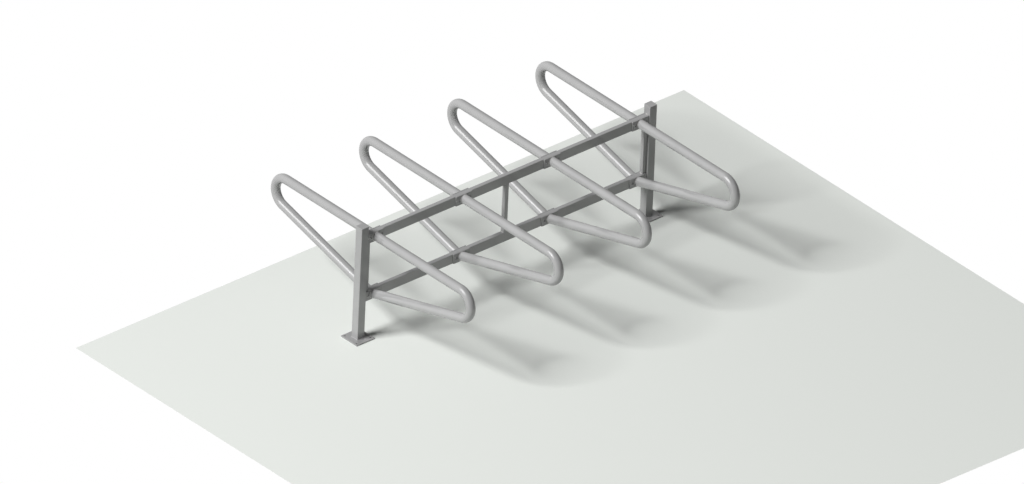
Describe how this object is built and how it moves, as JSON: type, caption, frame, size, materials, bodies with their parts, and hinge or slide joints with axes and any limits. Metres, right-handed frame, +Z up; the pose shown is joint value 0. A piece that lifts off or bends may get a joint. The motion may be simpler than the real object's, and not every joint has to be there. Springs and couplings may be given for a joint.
{
  "type": "bike rack",
  "caption": "Double-sided bicycle rack: bent-tube hoops clamped to the front and back of a ladder frame, carried by square posts on bolt-down base plates.",
  "frame": {"origin": "on the ground, midway between the posts and between the front and back hoops", "axes": "+X along the rails, -Y to the front where the bolt heads are, +Z up"},
  "size_m": [2.607, 1.9658, 0.838],
  "materials": {
    "frame_steel": "smooth satin steel with soft reflections",
    "hoop_steel": "smooth satin steel tube with soft reflections",
    "plate_steel": "satin flat plate with dressed edges",
    "fastener_steel": "plain steel fasteners, darker than the tubes"
  },
  "bodies": {
    "root": {"base_plate_left": "plate_steel", "base_plate_right": "plate_steel", "post_left": "frame_steel", "post_right": "frame_steel", "post_cap_left": "frame_steel", "post_cap_right": "frame_steel", "upper_rail": "frame_steel", "lower_rail": "frame_steel", "end_upright_left": "frame_steel", "end_upright_right": "frame_steel", "centre_upright": "frame_steel", "hoop_front_1": "hoop_steel", "hoop_front_2": "hoop_steel", "hoop_front_3": "hoop_steel", "hoop_front_4": "hoop_steel", "hoop_back_1": "hoop_steel", "hoop_back_2": "hoop_steel", "hoop_back_3": "hoop_steel", "hoop_back_4": "hoop_steel", "upper_clamp_front_1": "plate_steel", "upper_clamp_front_2": "plate_steel", "upper_clamp_front_3": "plate_steel", "upper_clamp_front_4": "plate_steel", "upper_clamp_back_1": "plate_steel", "upper_clamp_back_2": "plate_steel", "upper_clamp_back_3": "plate_steel", "upper_clamp_back_4": "plate_steel", "lower_clamp_front_1": "plate_steel", "lower_clamp_front_2": "plate_steel", "lower_clamp_front_3": "plate_steel", "lower_clamp_front_4": "plate_steel", "lower_clamp_back_1": "plate_steel", "lower_clamp_back_2": "plate_steel", "lower_clamp_back_3": "plate_steel", "lower_clamp_back_4": "plate_steel", "clamp_bolts": "fastener_steel", "clamp_washers": "fastener_steel", "clamp_nuts": "fastener_steel"}
  },
  "joints": []
}
